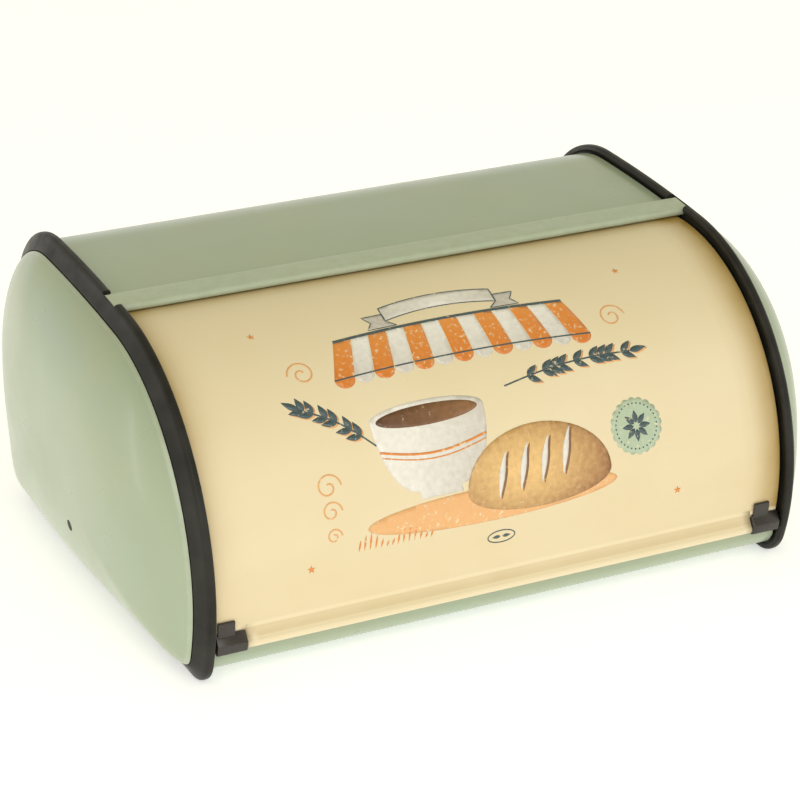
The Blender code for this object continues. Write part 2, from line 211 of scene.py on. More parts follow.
def make_floor():
    """Pale sweep, faintly uneven, that is not part of the object."""
    material, tree, shader = new_finish("pale_sweep")
    tone = mottle(tree, places(tree), 0.6)
    colour = blended(tree, tone, opaque((0.90, 0.90, 0.89)), opaque((0.94, 0.94, 0.94)))
    wire(tree, shader.inputs["Base Color"], colour)
    wire(tree, shader.inputs["Roughness"], 0.8)
    wire(tree, shader.inputs["Emission Color"], opaque((1.0, 1.0, 1.0)))
    wire(tree, shader.inputs["Emission Strength"], FLOOR_GLOW)
    bm = bmesh.new()
    bmesh.ops.create_grid(bm, x_segments=8, y_segments=8, size=FLOOR_WIDTH / 2)
    mesh = bpy.data.meshes.new("floor")
    bm.to_mesh(mesh)
    bm.free()
    mesh.materials.append(material)
    floor = bpy.data.objects.new("floor", mesh)
    floor.location.z = -0.0002
    scene.collection.objects.link(floor)


def make_sky():
    """Soft light from everywhere, dimmer overhead than round the horizon."""
    world = bpy.data.worlds.new("studio")
    world.use_nodes = True
    tree = world.node_tree
    direction_up = put(tree, "ShaderNodeSeparateXYZ",
                       Vector=put(tree, "ShaderNodeTexCoord").outputs["Generated"]).outputs["Z"]
    strength = spread(tree, direction_up, 0.05, 0.95, SKY_HORIZON, SKY_TOP)
    share = spread(tree, direction_up, 0.05, 0.75)
    tint = blended(tree, share, opaque((1.0, 1.0, 1.0)), opaque(SKY_TOP_TINT))
    wire(tree, tree.nodes["Background"].inputs["Color"], tint)
    wire(tree, tree.nodes["Background"].inputs["Strength"], strength)
    scene.world = world


make_floor()
make_sky()
for name, azimuth, elevation, distance, width, height, watts in LAMPS:
    lamp_data = bpy.data.lights.new(name, "AREA")
    lamp_data.shape = "RECTANGLE"
    lamp_data.size = width
    lamp_data.size_y = height
    lamp_data.energy = watts
    lamp = bpy.data.objects.new(name, lamp_data)
    lamp.location = CAMERA_AIM + distance * toward(azimuth, elevation)
    scene.collection.objects.link(lamp)
    aim(lamp, CAMERA_AIM)
print("lamps:", [row[0] for row in LAMPS])

# %% [markdown]
# ## The side outline
# Seen from the side, the box is a chain of arcs that meet without a corner. The front arc has
# its centre on the lid's pivot, which is what lets the lid follow it. Every sheet and ring
# repeats this outline a little further in, so one function makes them all. The outline's sizes
# repeat those of the working model, and its length and pivot are measured from it.

# %% Side outline
ring_low, ring_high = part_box("right_trim_ring")
hinge = frame["record"]["behaviour"]["joints"][0]["pos_m"]
PIVOT = (hinge[1], hinge[2])
HALF_DEPTH = ring_high.y
RING_INNER_X = ring_low.x
FRONT_RADIUS = 0.121
FRONT_FOOT_RADIUS = 0.020
REAR_TOP_RADIUS = 0.071
REAR_FOOT_RADIUS = 0.024
FRONT_ARC_END = 96.6
TOP_ARC_END = 91.3
OUTLINE_STEPS = (14, 72, 8, 34, 14)
SAME_POINT = 1e-6
SHEET = 0.0007


def direction(angle):
    """Unit (y, z) in the side view: 0 to the rear, 90 up, 180 to the front."""
    turn = math.radians(angle)
    return math.cos(turn), math.sin(turn)


def along(start, angle, distance):
    """A point at a distance from another, in the side view."""
    y, z = direction(angle)
    return start[0] + distance * y, start[1] + distance * z


def lid_point(radius, angle):
    """A point at a radius from the pivot and an angle above the front horizontal."""
    return along(PIVOT, 180 - angle, radius)


def arc(centre, radius, start, end, steps):
    """Points along an arc, both ends included."""
    return [along(centre, start + (end - start) * i / steps, radius) for i in range(steps + 1)]


def outline_arcs():
    """Centre, radius, start and end angle of each arc of the side outline."""
    foot_reach = FRONT_RADIUS - FRONT_FOOT_RADIUS
    foot_angle = 180 + math.degrees(math.asin((PIVOT[1] - FRONT_FOOT_RADIUS) / foot_reach))
    front_foot = along(PIVOT, foot_angle, foot_reach)
    front_end = along(PIVOT, FRONT_ARC_END, FRONT_RADIUS)
    rear_y = HALF_DEPTH - REAR_TOP_RADIUS
    top_end_y = rear_y + REAR_TOP_RADIUS * direction(TOP_ARC_END)[0]
    top_turn = direction(TOP_ARC_END)[0] - direction(FRONT_ARC_END)[0]
    top_radius = (top_end_y - front_end[0]) / top_turn
    top_centre = along(front_end, FRONT_ARC_END, -top_radius)
    rear_top = along(along(top_centre, TOP_ARC_END, top_radius), TOP_ARC_END, -REAR_TOP_RADIUS)
    rear_foot = (HALF_DEPTH - REAR_FOOT_RADIUS, REAR_FOOT_RADIUS)
    return (
        (front_foot, FRONT_FOOT_RADIUS, 270.0, foot_angle),
        (PIVOT, FRONT_RADIUS, foot_angle, FRONT_ARC_END),
        (top_centre, top_radius, FRONT_ARC_END, TOP_ARC_END),
        (rear_top, REAR_TOP_RADIUS, TOP_ARC_END, 0.0),
        (rear_foot, REAR_FOOT_RADIUS, 0.0, -90.0),
    )


def outline(inset, longest=0.006):
    """Closed side outline, moved in from the crest, with its straight runs split evenly."""
    points = []
    for (centre, radius, start, end), steps in zip(outline_arcs(), OUTLINE_STEPS):
        for point in arc(centre, radius - inset, start, end, steps):
            if not points or math.dist(point, points[-1]) > SAME_POINT:
                points.append(point)
    fine = []
    for start, end in zip(points, points[1:] + points[:1]):
        parts = max(1, math.ceil(math.dist(start, end) / longest))
        for i in range(parts):
            share = i / parts
            fine.append((start[0] + share * (end[0] - start[0]), start[1] + share * (end[1] - start[1])))
    return fine


print("side outline has", len(outline(0.0)), "points")

# %% [markdown]
# ## Turning points into pieces
# Most pieces here are grids of points: rows that run round the outline and columns that run
# across the width. A sheet is made as one skin and given its thickness by a Solidify
# modifier, which also closes its edges, just as a real sheet has a cut edge.

# %% Mesh helpers
SHARP_ANGLE = math.radians(40)


def join_grid(bm, rows, round_rows=False, round_columns=False):
    """Fill a grid of vertices with four-sided faces."""
    last_row = len(rows) if round_rows else len(rows) - 1
    width = len(rows[0])
    last_column = width if round_columns else width - 1
    for i in range(last_row):
        upper = rows[(i + 1) % len(rows)]
        for j in range(last_column):
            k = (j + 1) % width
            bm.faces.new((rows[i][j], rows[i][k], upper[k], upper[j]))


def piece(name, bm, finish, body, stands_for=(), thickness=0.0, turn=True):
    """Make an object that rides on a body, and hide the working pieces it stands for."""
    if turn:
        bmesh.ops.recalc_face_normals(bm, faces=bm.faces)
    mesh = bpy.data.meshes.new(name)
    bm.to_mesh(mesh)
    bm.free()
    mesh.shade_smooth()
    mesh.set_sharp_from_angle(angle=SHARP_ANGLE)
    mesh.materials.append(finish)
    made = bpy.data.objects.new(name, mesh)
    scene.collection.objects.link(made)
    if thickness:
        solid = made.modifiers.new("sheet thickness", "SOLIDIFY")
        solid.thickness = thickness
        solid.offset = -1.0
        solid.use_even_offset = True
    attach(made, body)
    if stands_for:
        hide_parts(*stands_for)
    return made


def rounded(points, radius, steps=4):
    """Closed outline with each corner cut back and rounded."""
    soft = []
    count = len(points)
    for i, corner in enumerate(points):
        here = Vector(corner)
        before = Vector(points[i - 1]) - here
        after = Vector(points[(i + 1) % count]) - here
        cut = min(radius, before.length * 0.45, after.length * 0.45)
        start = here + before.normalized() * cut
        end = here + after.normalized() * cut
        for j in range(steps + 1):
            t = j / steps
            soft.append(tuple(start * (1 - t) ** 2 + here * 2 * t * (1 - t) + end * t ** 2))
    return soft


def smooth_path(points, steps=6):
    """A smooth curve through a few points."""
    fine = []
    ends = [points[0]] + list(points) + [points[-1]]
    for a, b, c, d in zip(ends, ends[1:], ends[2:], ends[3:]):
        a, b, c, d = Vector(a), Vector(b), Vector(c), Vector(d)
        for j in range(steps):
            t = j / steps
            fine.append(tuple(0.5 * (2 * b + (c - a) * t + (2 * a - 5 * b + 4 * c - d) * t ** 2
                                     + (3 * b - a - 3 * c + d) * t ** 3)))
    fine.append(tuple(points[-1]))
    return fine


print("mesh helpers ready")

# %% [markdown]
# ## Mint paint
# The real finish is a sprayed satin enamel. It isn't one flat green: it has faint cloudy
# patches, a fine orange-peel skin, and it is rubbed a little paler along edges. Those three
# things are noise at three sizes. The edge rub is painted on the points as a value called rub.

# %% Mint paint
MINT = (0.352, 0.426, 0.304)


def make_mint_paint():
    """Satin enamel with cloudy patches, orange peel and rubbed edges."""
    material, tree, shader = new_finish("mint_enamel", coat=0.35, coat_roughness=0.16)
    where = places(tree)
    clouds = mottle(tree, where, 0.09, 2.0)
    warm = blended(tree, spread(tree, clouds, 0.35, 0.65), opaque(MINT), opaque((0.374, 0.428, 0.292)))
    speck = spread(tree, mottle(tree, where, 0.0025, 4.0), 0.66, 0.80, 0.0, 0.16)
    flecked = blended(tree, speck, warm, opaque((0.27, 0.33, 0.22)))
    rub = sums(tree, "MULTIPLY", painted(tree, "rub"), mottle(tree, where, 0.006, 5.0))
    worn = blended(tree, rub, flecked, opaque((0.62, 0.67, 0.55)))
    wire(tree, shader.inputs["Base Color"], worn)
    wire(tree, shader.inputs["Roughness"], spread(tree, mottle(tree, where, 0.03), 0.3, 0.7, 0.27, 0.38))
    emboss(tree, shader, mottle(tree, where, 0.0016, 2.0), 0.000012)
    return material


mint_paint = make_mint_paint()
print("mint paint ready")

# %% [markdown]
# ## The shell
# Floor, back and top are one sheet, bent on a brake. Its front edge is turned under into a
# flattened hollow roll, which stiffens it and gives the lid a soft edge to pass under. The roll
# could be a separate tube, but a real one is the same metal, so the path simply keeps going
# round. The roll is a few millimetres wider than the sheet, and rests in a notch of each ring.

# %% Painted shell
LID_RADIUS = FRONT_RADIUS - 0.0062
SHELL_INSET = 0.005
SHELL_EDGE = RING_INNER_X - 0.0003
NOSE_ANGLE = 91.0
NOSE_RADIUS = 0.0021 + SHEET / 2
NOSE_ORBIT = LID_RADIUS + 0.0030
NOSE_FLAT = 0.0115
NOSE_HALF_WIDTH = 0.1743
NOSE_LEAD = 0.003
NOSE_START = 35.0
NOSE_END = 315.0
UPSTAND = (LID_RADIUS - 0.0027, -13.6)
SHELL_ACROSS = (1.0, 0.997, 0.985, 0.95, 0.8, 0.55, 0.3, 0.0)


def both_sides(shares):
    """Shares of a half width, from the left edge to the right."""
    return [-s for s in shares] + [s for s in reversed(shares[:-1])]


def nose_centres():
    """Front and rear centres of the flattened roll, in line with the rising top."""
    front = lid_point(NOSE_ORBIT, NOSE_ANGLE)
    return front, along(front, FRONT_ARC_END - 90, NOSE_FLAT)


def shell_path():
    """Outer face of the sheet as (point, half width, rub), from the floor's front to the roll."""
    arcs = outline_arcs()
    foot, _, top, rear_top, rear_foot = arcs
    inset = SHELL_INSET
    path = [(lid_point(*UPSTAND), SHELL_EDGE, 0.6)]
    for (centre, radius, start, end), steps in (
            ((foot[0], foot[1], foot[3], foot[2]), 14),
            ((rear_foot[0], rear_foot[1], -90.0, 0.0), 14),
            (rear_top[:2] + (0.0, TOP_ARC_END), 34)):
        path += [(p, SHELL_EDGE, 0.0) for p in arc(centre, radius - inset, start, end, steps)]
    front, rear = nose_centres()
    up = FRONT_ARC_END
    lead_y = rear[0] + NOSE_RADIUS + NOSE_LEAD
    sheet_end = math.degrees(math.acos((lead_y - top[0][0]) / (top[1] - inset)))
    panel = arc(top[0], top[1] - inset, TOP_ARC_END, sheet_end, 24)
    path += [(p, SHELL_EDGE, 0.0) for p in panel[1:]]
    start = along(rear, NOSE_START, NOSE_RADIUS)
    lead = smooth_path([panel[-1], (lead_y - NOSE_LEAD * 0.55, panel[-1][1] + 0.0004), start], 5)
    path += [(p, SHELL_EDGE, 0.15) for p in lead[1:-1]]
    turns = arc(rear, NOSE_RADIUS, NOSE_START, up, 8)
    turns += arc(front, NOSE_RADIUS, up, up + 180, 24)
    turns += arc(rear, NOSE_RADIUS, up + 180, NOSE_END, 6)
    path += [(p, NOSE_HALF_WIDTH, 0.45) for p in turns]
    return path


def make_shell():
    """The painted shell with its front roll."""
    bm = bmesh.new()
    rub = bm.verts.layers.float.new("rub")
    rows = []
    for (y, z), half_width, wear in shell_path():
        row = []
        for share in both_sides(SHELL_ACROSS):
            vertex = bm.verts.new((share * half_width, y, z))
            vertex[rub] = wear + (0.5 if abs(share) > 0.99 else 0.0)
            row.append(vertex)
        rows.append(row)
    join_grid(bm, rows)
    shell = piece("painted_shell", bm, mint_paint, "case", ["body_shell"], SHEET)
    print("shell path has", len(rows), "rows")
    return shell


shell = make_shell()

# %% [markdown]
# ## The domed ends
# Each end is pressed from flat sheet in a shallow die: steep near its rim and nearly flat in
# the middle. A scaled copy of the outline would leave a crease from every corner, so the rings
# of points turn slowly into an oval towards the middle. A small hole takes the pivot pin.

# %% Domed ends
COVER_RIM_X = 0.1788
COVER_THICKNESS = 0.0008
COVER_BULGE = 0.027
COVER_FULLNESS = 3.7
COVER_SHOULDER = 0.7
COVER_INSET = 0.0098
COVER_MIDDLE = (0.125, 0.078)
COVER_RINGS = 44
PIN_HOLE_RADIUS = 0.0032
SIDES = {"left": -1, "right": 1}


def cover_face(share):
    """Outer X of the dome, from its middle (0) to its rim (1)."""
    return COVER_RIM_X + COVER_THICKNESS + COVER_BULGE * (1 - share ** COVER_FULLNESS) ** COVER_SHOULDER


def cover_ring(share):
    """One ring of the dome as (y, z) points."""
    edge = outline(COVER_INSET)
    heights = [z for _, z in edge]
    middle = (0.0, (min(heights) + max(heights)) / 2)
    ring = []
    for y, z in edge:
        reach = math.dist((y, z), middle)
        turn_y, turn_z = (y - middle[0]) / reach, (z - middle[1]) / reach
        oval = 1 / math.hypot(turn_y / COVER_MIDDLE[0], turn_z / COVER_MIDDLE[1])
        distance = share * (reach * share ** 2 + oval * (1 - share ** 2))
        ring.append((middle[0] + turn_y * distance, middle[1] + turn_z * distance))
    return ring, middle


def cutter(section, x_low, x_high):
    """A closed side section drawn out along X, to cut with."""
    bm = bmesh.new()
    rows = [[bm.verts.new((x, y, z)) for y, z in section] for x in (x_low, x_high)]
    join_grid(bm, rows, round_columns=True)
    bm.faces.new(rows[0])
    bm.faces.new(rows[1])
    bmesh.ops.recalc_face_normals(bm, faces=bm.faces)
    mesh = bpy.data.meshes.new("cutter")
    bm.to_mesh(mesh)
    bm.free()
    made = bpy.data.objects.new("cutter", mesh)
    scene.collection.objects.link(made)
    return made


def cut(made, tool, operation="DIFFERENCE"):
    """Apply the modifiers of a piece and one Boolean, and remove the tool."""
    modifier = made.modifiers.new("cut", "BOOLEAN")
    modifier.operation = operation
    modifier.solver = "EXACT"
    modifier.object = tool
    bpy.context.view_layer.update()
    graph = bpy.context.evaluated_depsgraph_get()
    mesh = bpy.data.meshes.new_from_object(made.evaluated_get(graph))
    made.modifiers.clear()
    made.data = mesh
    mesh.shade_smooth()
    mesh.set_sharp_from_angle(angle=SHARP_ANGLE)
    bpy.data.objects.remove(tool)


def make_domed_end(name, side):
    """One domed end, drilled for its pin."""
    bm = bmesh.new()
    rub = bm.verts.layers.float.new("rub")
    rows = []
    for i in range(COVER_RINGS, 0, -1):
        share = math.sin(math.pi / 2 * i / COVER_RINGS)
        ring, middle = cover_ring(share)
        row = [bm.verts.new((side * cover_face(share), y, z)) for y, z in ring]
        for vertex in row:
            vertex[rub] = 0.35 if i > COVER_RINGS - 4 else 0.0
        rows.append(row)
    join_grid(bm, rows, round_columns=True)
    pole = bm.verts.new((side * cover_face(0), *middle))
    for i, vertex in enumerate(rows[-1]):
        bm.faces.new((vertex, rows[-1][(i + 1) % len(rows[-1])], pole))
    bmesh.ops.recalc_face_normals(bm, faces=bm.faces)
    if sum(face.normal.x * side for face in bm.faces) < 0:
        bmesh.ops.reverse_faces(bm, faces=bm.faces)
    dome = piece(f"{name}_domed_end", bm, mint_paint, "case",
                 [f"{name}_side_cover"], COVER_THICKNESS, turn=False)
    span = sorted((side * COVER_RIM_X, side * (COVER_RIM_X + 2 * COVER_BULGE)))
    cut(dome, cutter(arc(PIVOT, PIN_HOLE_RADIUS, 0, 360, 48)[:-1], *span))
    print(dome.name, "has", len(dome.data.polygons), "faces")


for name, side in SIDES.items():
    make_domed_end(name, side)

# %% [markdown]
# ## The rings
# A moulded plastic ring hides each joint, and the box stands on it. Its section is a stepped
# inner wall, a narrow crown and a slope that runs down to cover the edge of the dome. The
# plastic is a soft brown-black with a satin, faintly grained skin, so the light slides along it
# in one long streak.

# %% Dark trim plastic
def make_trim_plastic(name, colour, grain, polish, shine):
    """Moulded plastic with a fine grain and dull scuffs."""
    material, tree, shader = new_finish(name)
    shader.inputs["Specular IOR Level"].default_value = shine
    where = places(tree)
    cloudy = spread(tree, mottle(tree, where, 0.02, 4.0), 0.35, 0.7)
    dusty = tuple(channel * 1.55 + 0.006 for channel in colour)
    wire(tree, shader.inputs["Base Color"], blended(tree, cloudy, opaque(colour), opaque(dusty)))
    scuffs = mottle(tree, where, 0.012, 6.0, stretch=(0.4, 1.0, 1.6))
    wire(tree, shader.inputs["Roughness"], spread(tree, scuffs, 0.35, 0.68, polish, polish + 0.14))
    emboss(tree, shader, mottle(tree, where, grain, 3.0), 0.00002)
    return material


trim_plastic = make_trim_plastic("dark_trim_plastic", (0.014, 0.013, 0.010), 0.0006, 0.36, 0.22)
cap_plastic = make_trim_plastic("cap_plastic", (0.020, 0.015, 0.012), 0.0005, 0.20, 0.60)
print("plastics ready")

# %% [markdown]
# ## Sweeping the rings
# The section has its corners rounded, and is then swept round the side outline. Last comes the
# notch for the end of the roll. It is open through the crest, so the roll's end shows in it.

# %% Rings
CREST_CLEARANCE = 0.00006
NOTCH_DEPTH_X = 0.1748
NOTCH_CLEARANCE = 0.0006
NOTCH_RISE = 0.008
RING_CORNERS = (
    (0.0010, 0.0130), (0.0010, 0.0040), (0.0, 0.0030), (0.0, 0.0012), (0.0005, 0.0003), (0.0014, 0.0),
    (0.0036, 0.0), (0.0050, 0.0011), (0.0064, 0.0039), (0.0079, 0.0065), (0.0094, 0.0088),
    (0.0092, 0.0095), (0.0085, 0.0095), (0.0085, 0.0130),
)
RING_ROUNDING = 0.0009


def notch_section():
    """Side section of the notch round the roll, open through the crest."""
    front, rear = nose_centres()
    up = FRONT_ARC_END
    radius = NOSE_RADIUS + NOTCH_CLEARANCE
    path = arc(front, radius, up + 90, up + 180, 14) + arc(rear, radius, up + 180, up + 270, 14)
    return path + [along(path[-1], up, NOTCH_RISE), along(path[0], up, NOTCH_RISE)]


def make_ring(name, side):
    """One trim ring, notched for the end of the roll."""
    bm = bmesh.new()
    section = rounded(RING_CORNERS, RING_ROUNDING)
    columns = []
    for across, inset in section:
        x = side * (RING_INNER_X + across)
        columns.append([bm.verts.new((x, y, z)) for y, z in outline(inset + CREST_CLEARANCE)])
    join_grid(bm, columns, round_rows=True, round_columns=True)
    ring = piece(f"{name}_edge_trim", bm, trim_plastic, "case", [f"{name}_trim_ring"])
    span = sorted((side * (RING_INNER_X - 0.001), side * NOTCH_DEPTH_X))
    cut(ring, cutter(notch_section(), *span))
    print(ring.name, "section has", len(section), "points")


for name, side in SIDES.items():
    make_ring(name, side)

# %% [markdown]
# ## Cream lacquer
# The lid is printed cream with a browned, aged border, under a clear lacquer. Part of that border
# is painted shade: it is wider and darker along the right edge, beside the dark ring, and along
# the top, under the roll, and the hollow of the step above the lip is painted darker as shade.
# The border is wider at the top, where two browned edges meet. How brown each point is depends
# on its distance from the edges, so it is worked out in plain arithmetic and painted on the mesh
# as one value for browning and painted shade together. Noise then breaks it up, so that it looks
# like stain and not like a ramp.

# %% Cream lacquer
CREAM = (0.800, 0.680, 0.445)
OCHRE = (0.43, 0.270, 0.058)


def cream_colour(tree, where, age_and_shade):
    """Cream that turns to ochre where it is aged and where shade is painted on it."""
    clouds = mottle(tree, where, 0.05, 3.0)
    base = blended(tree, spread(tree, clouds, 0.35, 0.65), opaque(CREAM), opaque((0.815, 0.698, 0.468)))
    patchy = sums(tree, "MULTIPLY", age_and_shade, spread(tree, mottle(tree, where, 0.02, 5.0), 0.2, 0.8, 0.82, 1.15))
    stained_and_shaded = blended(tree, patchy, base, opaque(OCHRE))
    speck = spread(tree, mottle(tree, where, 0.0022, 5.0), 0.68, 0.82, 0.0, 0.22)
    return blended(tree, speck, stained_and_shaded, opaque((0.55, 0.42, 0.22)))


def make_cream_lacquer():
    """Printed cream under clear lacquer."""
    material, tree, shader = new_finish("cream_lacquer", coat=0.5, coat_roughness=0.12)
    where = places(tree)
    wire(tree, shader.inputs["Base Color"], cream_colour(tree, where, painted(tree, "age_and_shade")))
    wire(tree, shader.inputs["Roughness"], spread(tree, mottle(tree, where, 0.04), 0.3, 0.7, 0.30, 0.40))
    emboss(tree, shader, mottle(tree, where, 0.0020, 2.0), 0.000010)
    return material


cream_lacquer = make_cream_lacquer()
print("cream lacquer ready")

# %% [markdown]
# ## The lid
# The lid is one sheet again. Its ends are turned in by ten millimetres, which keeps the curve
# true. At the bottom it flows outward in a soft step and ends in a rolled lip, which is
# the handle. The step and lip are narrower than the lid, because a plastic cap closes each end.

# %% Lid sheet
LID_HALF_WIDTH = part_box("lid_panel")[1].x
LID_FLANGE = 0.010
LID_BEND = 0.0014
LID_HIGH = 98.0
LID_LOW = -12.0
LIP_START = -9.2
LIP_HALF_WIDTH = 0.1517
LIP_ORBIT = LID_RADIUS + 0.0024
LIP_ANGLE = -14.4
LIP_ROLL_RADIUS = 0.0024 + SHEET / 2
LIP_ROLL = (128.0, 330.0)
LIP_STEP_SHADE = 0.30


def lid_section():
    """Half of the lid across its width, as (x, depth below the face), from the flange inward."""
    flat = LID_HALF_WIDTH - LID_BEND
    half = [(LID_HALF_WIDTH, LID_FLANGE), (LID_HALF_WIDTH, LID_FLANGE / 2)]
    for i in range(7):
        turn = math.radians(15 * i)
        half.append((flat + LID_BEND * math.cos(turn), LID_BEND * (1 - math.sin(turn))))
    for x in (0.164, 0.160, 0.156, LIP_HALF_WIDTH, 0.145, 0.135, 0.12, 0.10, 0.075, 0.05, 0.025, 0.0):
        half.append((x, 0.0))
    return half


def age_and_shade_of(x, angle):
    """How browned and shaded the lacquer is at a place on the lid, from 0 to about 1: printed browning, with
    painted shade along the right edge beside the dark ring and along the top under the roll.
    """
    from_side = (LID_HALF_WIDTH - abs(x)) / 0.001
    climb = min(1.0, max(0.0, angle) / 45.0)
    # Right edge: browning and painted shade beside the dark ring, wider and darker than on the left.
    if x > 0:
        side_stain_and_shade = 0.86 * math.exp(-(from_side / 13.5) ** 2.4) * (0.85 + 0.15 * climb)
    else:
        side_stain_and_shade = 0.70 * math.exp(-(from_side / 7.0) ** 1.15) * (0.25 + 0.75 * climb)
    # Top edge: browning and a painted shadow under the roll.
    top = max(0.0, (92.0 - angle) * math.radians(1) * LID_RADIUS / 0.001)
    top_stain_and_shade = 0.80 * math.exp(-(top / 10.0) ** 1.1) + 0.02 * math.exp(-top / 50.0)
    low_stain = 0.17 * max(0.0, 1.0 - max(0.0, angle) / 28.0)
    return min(1.0, side_stain_and_shade + top_stain_and_shade + low_stain)


def lip_path():
    """The step and the rolled lip, below the plain part of the lid."""
    centre = lid_point(LIP_ORBIT, LIP_ANGLE)
    roll = arc(centre, LIP_ROLL_RADIUS, *LIP_ROLL, 30)
    knots = [lid_point(LID_RADIUS, LIP_START), lid_point(LID_RADIUS + 0.0001, LIP_START - 1.1),
             lid_point(LID_RADIUS + 0.0010, -11.7), roll[0]]
    return smooth_path(knots, 5)[1:-1] + roll


def make_lid():
    """The printed lid with its turned-in ends, step and rolled lip."""
    bm = bmesh.new()
    age_and_shade = bm.verts.layers.float.new("age_and_shade")
    half = lid_section()
    section = [(-x, depth) for x, depth in half] + [(x, depth) for x, depth in reversed(half[:-1])]
    rows = []
    angles = [LID_HIGH + (LIP_START - LID_HIGH) * i / 110 for i in range(111)]
    for angle in angles:
        row = []
        for x, depth in section:
            vertex = bm.verts.new((x, *lid_point(LID_RADIUS - depth, angle)))
            vertex[age_and_shade] = age_and_shade_of(x, angle)
            row.append(vertex)
        rows.append(row)
    join_grid(bm, rows)
    inside = [j for j, (x, depth) in enumerate(section) if abs(x) <= LIP_HALF_WIDTH + SAME_POINT]
    outside = (range(0, inside[0] + 1), range(inside[-1], len(section)))
    lip_rows = [[rows[-1][j] for j in inside]]
    path = lip_path()
    # Rows 5 to 12 of the path are the hollow of the step, and they get painted shade, darker than the lip
    # below.
    for i, (y, z) in enumerate(path):
        row = [bm.verts.new((section[j][0], y, z)) for j in inside]
        for vertex in row:
            vertex[age_and_shade] = LIP_STEP_SHADE if 4 < i < 13 else 0.03
        lip_rows.append(row)
    join_grid(bm, lip_rows)
    for columns in outside:
        corner = [[rows[-1][j] for j in columns]]
        for angle in (LIP_START - 0.9, LIP_START - 1.8, LID_LOW):
            made = []
            for j in columns:
                x, depth = section[j]
                made.append(bm.verts.new((x, *lid_point(LID_RADIUS - depth, angle))))
            corner.append(made)
        join_grid(bm, corner)
    lid = piece("printed_lid", bm, cream_lacquer, "lid", ["lid_panel"], SHEET)
    print("lid sheet has", len(lid.data.polygons), "faces, and", len(path), "rows in its lip")


make_lid()

# %% [markdown]
# ## The printed picture
# The lid carries a plain bakery picture with no words on it. Real ink is a thin layer on the
# sheet, so each colour here is a closed film two hundredths of a millimetre thick. Shapes are
# drawn flat, in millimetres to the right of the lid's middle and up along its curve, and then
# laid on the cylinder. A filled shape also gets points inside it, or it would cut through the curve.

# %% Drawing on the lid
FILM = 0.00002
FIRST_LIFT = 0.00004
LAYER_LIFT = 0.00003
PRINT_PITCH = 3.0


def on_lid(u, v, layer):
    """The place of a drawn point, in metres."""
    angle = math.degrees(v * 0.001 / LID_RADIUS)
    return Vector((u * 0.001, *lid_point(LID_RADIUS + FIRST_LIFT + layer * LAYER_LIFT, angle)))


def closely(points, closed=True):
    """The same line with its long runs split."""
    fine = []
    ends = points[1:] + points[:1] if closed else points[1:]
    for a, b in zip(points, ends):
        parts = max(1, math.ceil(math.dist(a, b) / PRINT_PITCH))
        fine += [(a[0] + (b[0] - a[0]) * i / parts, a[1] + (b[1] - a[1]) * i / parts) for i in range(parts)]
    return fine if closed else fine + [points[-1]]


def holds(edge, u, v):
    """Whether a drawn point is inside a closed outline."""
    inside = False
    for (u0, v0), (u1, v1) in zip(edge, edge[1:] + edge[:1]):
        if (v0 > v) != (v1 > v) and u < u0 + (v - v0) * (u1 - u0) / (v1 - v0):
            inside = not inside
    return inside


def filled(points):
    """A filled shape as (points, faces)."""
    edge = closely(points)
    across, up = zip(*edge)
    inner = [(min(across) + PRINT_PITCH * (i + 0.5), min(up) + PRINT_PITCH * (j + 0.5))
             for i in range(int((max(across) - min(across)) / PRINT_PITCH) + 1)
             for j in range(int((max(up) - min(up)) / PRINT_PITCH) + 1)]
    inner = [p for p in inner if holds(edge, *p) and min(math.dist(p, q) for q in edge) > PRINT_PITCH / 3]
    flat = [Vector(p) for p in edge + inner]
    made = delaunay_2d_cdt(flat, [], [list(range(len(edge)))], 1, 1e-5)
    return [tuple(p) for p in made[0]], made[2]


def stroke(points, width, taper=False):
    """A drawn line as (points, faces), pointed at both ends if it tapers."""
    line = closely(points, closed=False)
    last = len(line) - 1
    sides = []
    for i, (u, v) in enumerate(line):
        run = Vector(line[min(i + 1, last)]) - Vector(line[max(i - 1, 0)])
        half = width / 2 * (0.12 + 0.88 * math.sin(math.pi * i / last) if taper else 1.0)
        side = Vector((-run.y, run.x)).normalized() * half
        sides += [(u + side.x, v + side.y), (u - side.x, v - side.y)]
    return sides, [(2 * i, 2 * i + 1, 2 * i + 3, 2 * i + 2) for i in range(last)]


def print_film(name, shapes, ink, layer, shade=None):
    """Lay shapes of one ink on the lid; shade gives each point a tone from 0 to 1."""
    bm = bmesh.new()
    tone = bm.verts.layers.float.new("shade")
    for points, faces in shapes:
        made = [bm.verts.new(on_lid(u, v, layer)) for u, v in points]
        for vertex, (u, v) in zip(made, points):
            vertex[tone] = shade(u, v) if shade else 0.5
        for face in faces:
            ring = [points[i] for i in face]
            area = sum(a[0] * b[1] - b[0] * a[1] for a, b in zip(ring, ring[1:] + ring[:1]))
            bm.faces.new([made[i] for i in (face if area > 0 else face[::-1])])
    film = piece(name, bm, ink, "lid", thickness=FILM, turn=False)
    print(name, "has", len(film.data.polygons), "faces")


print("drawing helpers ready")

# %% [markdown]
# ## Inks
# Each ink runs between two tones, so that a crust or a bowl can be shaded from point to point.
# Fine noise breaks the ink through to the cream, as a worn print does.

# %% Inks
def make_ink(name, dark, light, wear=0.0):
    """Ink between two tones, worn through to the cream in places."""
    material, tree, shader = new_finish(name, coat=0.5, coat_roughness=0.12)
    where = places(tree)
    grain = spread(tree, mottle(tree, where, 0.003, 5.0), 0.3, 0.7, -0.12, 0.12)
    tone = blended(tree, sums(tree, "ADD", painted(tree, "shade"), grain), opaque(dark), opaque(light))
    rubbed = spread(tree, mottle(tree, where, 0.0022, 6.0), 0.66 - wear, 0.76 - wear, 0.0, 0.85)
    wire(tree, shader.inputs["Base Color"], blended(tree, rubbed, tone, opaque(CREAM)))
    wire(tree, shader.inputs["Roughness"], spread(tree, mottle(tree, where, 0.01), 0.3, 0.7, 0.32, 0.44))
    return material


